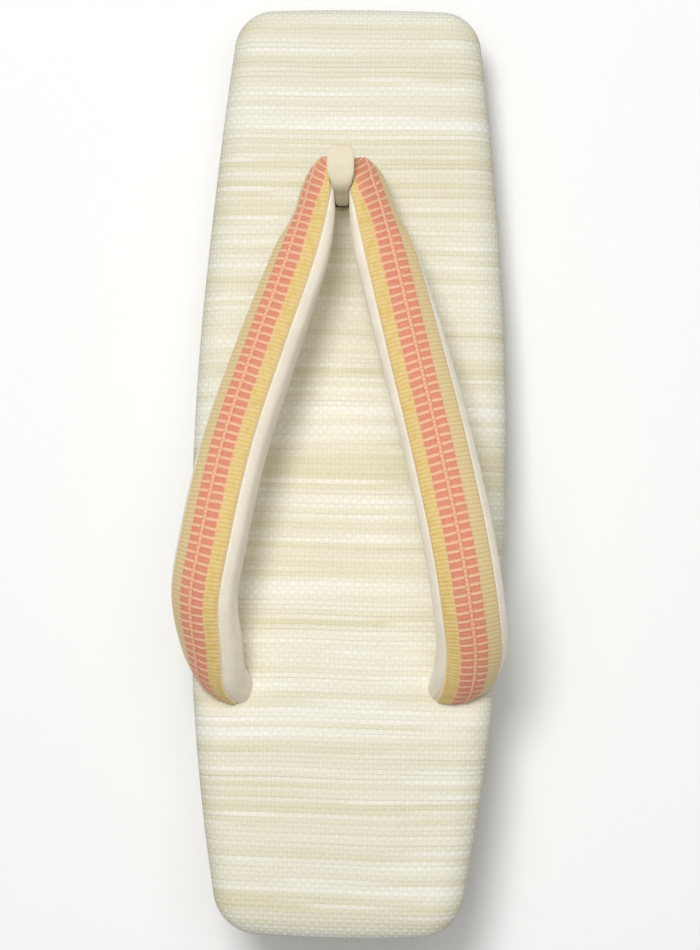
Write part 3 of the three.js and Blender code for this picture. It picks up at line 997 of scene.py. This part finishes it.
def braidPaint():
    spec = tape
    p = Paint("braidYarn", Sheen_Weight=0.2, Sheen_Roughness=0.4, Specular_IOR_Level=0.3)
    across, along, _ = p.attribute("tape")
    wander = p.noise(p.vector(along * 0.5, across * 0.8, 0), 1, 2) - 0.5
    far = abs(across)
    border = p.step(far, spec["width"] / 2 - 0.55, spec["width"] / 2 - 0.25)
    taken = p.step(along, spec["tuck"][2], spec["tuck"][1]) * spec["tuck"][0]
    across = across + wander * 0.3
    along = along + p.noise(p.vector(along * 0.35, across * 0.5, 4), 1, 2) * 0.5
    far = abs(across)
    outer = across > 0
    plainSlant, foldSlant, slantStart, slantEnd = spec["slant"]
    repeat = (along + across * (p.step(along, slantEnd, slantStart) * foldSlant + plainSlant)) / spec["pitch"]
    block = math.floor(repeat)
    uneven = p.noise(p.vector(block * 3.7, outer * 9.1, 6), 1, 1)
    phase = repeat - block
    barStart = 1 - spec["barShare"]
    bar = p.step(phase, barStart - 0.1, barStart + 0.07) * p.step(1 - phase, 0, 0.11)
    rib = (along / spec["pitch"] * 2) % 1
    rib = 1 - (rib * 2 - 1) * (rib * 2 - 1)
    filament = p.noise(p.vector(across * 5.5, along * 1.2, 0), 1, 2)
    strand = p.noise(p.vector(across * 1.1, along * 7.5, 2), 1, 2)
    coral = p.mix(p.step(filament, 0.35, 0.68), yarn["coralDeep"], yarn["coral"])
    coral = p.mix(p.step(uneven, 0.5, 0.75) * 0.7, coral, yarn["coralDull"])
    patch = p.step(p.noise(p.vector(across * 0.5, along * 0.4, 8), 1, 2), 0.45, 0.65)
    # the outer border takes the painted shade colours
    edge = p.mix(outer, p.mix(patch, yarn["yellow"], yarn["gold"]), yarn["outer"])
    edgeDeep = p.mix(outer, yarn["yellowDeep"], yarn["outerShadedDeep"])
    # painted shade: darker yarn colour in the hollows between ribs, mixed with random strand tone
    edge = p.mix(p.step(rib * 0.4 + strand * 0.8, 0.8, 0.3) * 0.8, edge, edgeDeep)
    # cream tape edge: partly the selvedge thread, partly a painted highlight along the edge
    edge = p.mix(border * 0.8, edge, yarn["selvedgeAndHighlight"])
    innerEdge, outerEdge = spec["coralEdge"]
    coralEdge = innerEdge - 0.35 + uneven * 0.7 + taken * (1 - outer) - outer * (innerEdge - outerEdge)
    face = p.mix(p.step(far - coralEdge, 0.24, -0.2), edge, coral)
    # the bars run on into the border
    face = p.mix(bar * p.step(far - coralEdge, 1.1, -0.1), face, yarn["peach"])
    bead = (along / spec["pitch"] * 2 + 0.25) % 1
    bead = 1 - (bead * 2 - 1) * (bead * 2 - 1)
    chain = p.mix(p.step(bead, 0.05, 0.6) * 0.85, yarn["coral"], yarn["peach"])
    face = p.mix(p.step(far, spec["chainHalf"] + 0.1, spec["chainHalf"] - 0.14), face, chain)
    # painted shade in the furrow beside the chain
    furrowShade = p.step(abs(far - spec["chainHalf"] - 0.16), 0.16, 0.02) * 0.4
    face = p.mix(furrowShade, face, yarn["furrow"])
    shade = filament * 0.18 + 0.9
    p.set("Base Color", p.mix(1, face, p.vector(shade, shade, shade), "MULTIPLY"))
    p.set("Roughness", 0.72 - bar * 0.08 + strand * 0.1)
    p.relief(filament * 0.5 + strand * 0.5, 0.5, 0.1)
    return p.material


# studded tread
rubberLook = {
    "dark": colour(150, 132, 102),
    "light": colour(186, 168, 136),
    "studWave": 1.25,  # radians for each millimetre
    "relief": 0.5,
}


def rubberPaint():
    spec = rubberLook
    p = Paint("treadRubber", Specular_IOR_Level=0.35)
    place = p.node("ShaderNodeTexCoord", {}, {}, out="Object")
    split = p.node("ShaderNodeSeparateXYZ", {}, {0: place})
    x, y = split.out("X") / mm, split.out("Y") / mm
    grain = p.noise(place, 900, 3, 0.6)
    first = p.maths("SINE", (x + y) * spec["studWave"])
    second = p.maths("SINE", (x - y) * spec["studWave"])
    stud = p.step(first * second, 0.1, 0.5)
    tone = p.step(grain * 0.7 + stud * 0.25, 0.3, 0.75)
    p.set("Base Color", p.mix(tone, spec["dark"], spec["light"]))
    p.set("Roughness", 0.82 - grain * 0.16)
    p.relief(stud + grain * 0.4, 0.6, spec["relief"])
    return p.material


def floorPaint():
    p = Paint("paleFloor", Roughness=0.9, Specular_IOR_Level=0.1)
    place = p.node("ShaderNodeTexCoord", {}, {}, out="Object")
    p.set("Base Color", p.mix(p.noise(place, 3, 2), colour(252, 252, 251), colour(255, 255, 254)))
    return p.material


def finishPiece(piece, nodes, material):
    piece.data.materials.clear()
    piece.data.materials.append(material)
    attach(piece, "root")
    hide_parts(*nodes)
    print(piece.name, len(triangles(piece.data)), "triangles")


# camera, lights and floor
view = {
    "place": (0.045, -0.0374, 0.830),
    "aim": (0, 0, 0.027),
    "lean": math.radians(1.03),
    "lens": 118.3,
    "frame": (700, 950),
    "aimPixel": (348.3, 466),
}


def buildCamera():
    camera = bpy.data.cameras.new("camera")
    camera.sensor_fit = "VERTICAL"
    camera.sensor_height = 36
    camera.lens = view["lens"]
    width, height = view["frame"]
    camera.shift_x = (width / 2 - view["aimPixel"][0]) / height
    camera.shift_y = (view["aimPixel"][1] - height / 2) / height
    stand = bpy.data.objects.new("camera", camera)
    bpy.context.scene.collection.objects.link(stand)
    place, aim = Vector(view["place"]), Vector(view["aim"])
    ahead = (aim - place).normalized()
    right = ahead.cross(Vector((0, 1, 0))).normalized()
    up = right.cross(ahead)
    cos, sin = math.cos(view["lean"]), math.sin(view["lean"])
    right, up = right * cos + up * sin, up * cos - right * sin
    stand.matrix_world = Matrix([[right[k], up[k], -ahead[k], place[k]] for k in range(3)] + [[0, 0, 0, 1]])
    bpy.context.scene.camera = stand


lights = [
    {"name": "key", "place": (-0.14, 0.36, 1.2), "size": 0.4, "power": 7.5},
    {"name": "overhead", "place": (0, 0.25, 1.3), "size": 1.3, "power": 5.3},
]
softboxStrength = 0.28


def buildLights():
    for spec in lights:
        lamp = bpy.data.lights.new(spec["name"], "AREA")
        lamp.shape = "DISK"
        lamp.size = spec["size"]
        lamp.energy = spec["power"]
        stand = bpy.data.objects.new(spec["name"], lamp)
        bpy.context.scene.collection.objects.link(stand)
        stand.location = spec["place"]
        stand.rotation_euler = (-Vector(spec["place"])).to_track_quat("-Z", "Y").to_euler()
    world = bpy.data.worlds.new("softbox")
    world.use_nodes = True
    sky = next(n for n in world.node_tree.nodes if n.type == "BACKGROUND")
    sky.inputs["Color"].default_value = (1, 1, 1, 1)
    sky.inputs["Strength"].default_value = softboxStrength
    bpy.context.scene.world = world
    bpy.context.scene.view_settings.view_transform = "Standard"


def buildFloor():
    side = 3
    mesh = bpy.data.meshes.new("floor")
    corners = [(-side, -side, 0), (side, -side, 0), (side, side, 0), (-side, side, 0)]
    mesh.from_pydata(corners, [], [(0, 1, 2, 3)])
    floor = bpy.data.objects.new("floor", mesh)
    bpy.context.scene.collection.objects.link(floor)
    mesh.materials.append(floorPaint())


buildCamera()
buildLights()
buildFloor()
print("camera, lights and floor ready")

slubCloth = clothPaint()
lining = napPaint("liningNap", nap["pale"], nap["deep"])
loopNap = napPaint("loopNap", nap["loopPale"], nap["loopDeep"])
braid = braidPaint()
rubber = rubberPaint()

finishPiece(buildTread(), ["outsole"], rubber)
finishPiece(buildSide(), ["sole_core"], slubCloth)
finishPiece(buildFootbed(), ["footbed"], slubCloth)
print("sole ready")

strapBand = buildStrap()
finishPiece(strapBand, ["strap"], lining)
finishPiece(buildLoop(), ["toe_loop"], loopNap)
cutters = [footbedTool(), loopTool(tape["loopRoom"])]
finishPiece(buildTape(-1, "braidLeft", cutters), ["braid_left"], braid)
finishPiece(buildTape(1, "braidRight", cutters), ["braid_right"], braid)
dropPieces(cutters)
print("strap ready")
